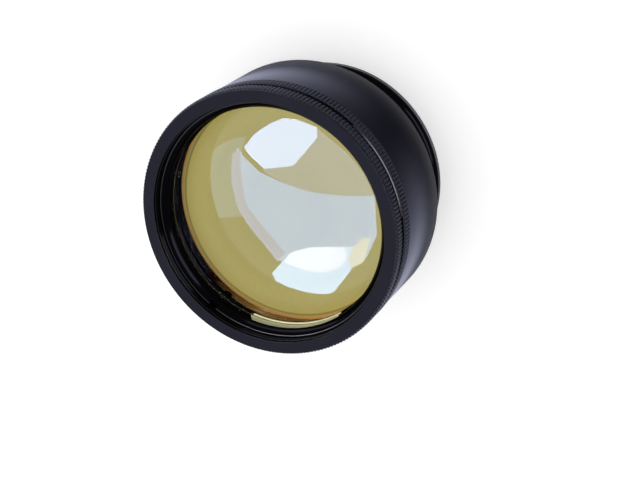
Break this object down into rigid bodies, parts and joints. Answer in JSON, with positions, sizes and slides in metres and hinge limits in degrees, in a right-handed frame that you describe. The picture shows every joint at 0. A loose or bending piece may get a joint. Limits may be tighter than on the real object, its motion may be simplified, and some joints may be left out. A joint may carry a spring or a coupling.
{
  "type": "f theta scan lens",
  "caption": "Round black laser scan lens with a knurled window cell, gold-tinted coated glass in a deep bore and a threaded neck for the scan head.",
  "frame": {"origin": "centre of the end face of the mounting thread, on which the lens stands", "axes": "+Z along the optical axis from the scan head towards the protective window; the part is turned, so X and Y are free"},
  "size_m": [0.0976, 0.0976, 0.0616],
  "materials": {
    "anodised_aluminium": "black anodised, satin",
    "seal_rubber": "moulded, matt",
    "clear_glass": "polished, coated",
    "coated_glass": "polished, gold-tinted coating"
  },
  "bodies": {
    "root": {"barrel": "anodised_aluminium", "window_cell": "anodised_aluminium", "window_retaining_ring": "anodised_aluminium", "front_retaining_ring": "anodised_aluminium", "rear_retaining_ring": "anodised_aluminium", "front_spacer": "anodised_aluminium", "rear_spacer": "anodised_aluminium", "cell_o_ring": "seal_rubber", "window_gasket": "seal_rubber", "protective_window": "clear_glass", "front_lens": "coated_glass", "third_lens": "coated_glass", "second_lens": "coated_glass", "entrance_lens": "coated_glass"}
  },
  "joints": []
}
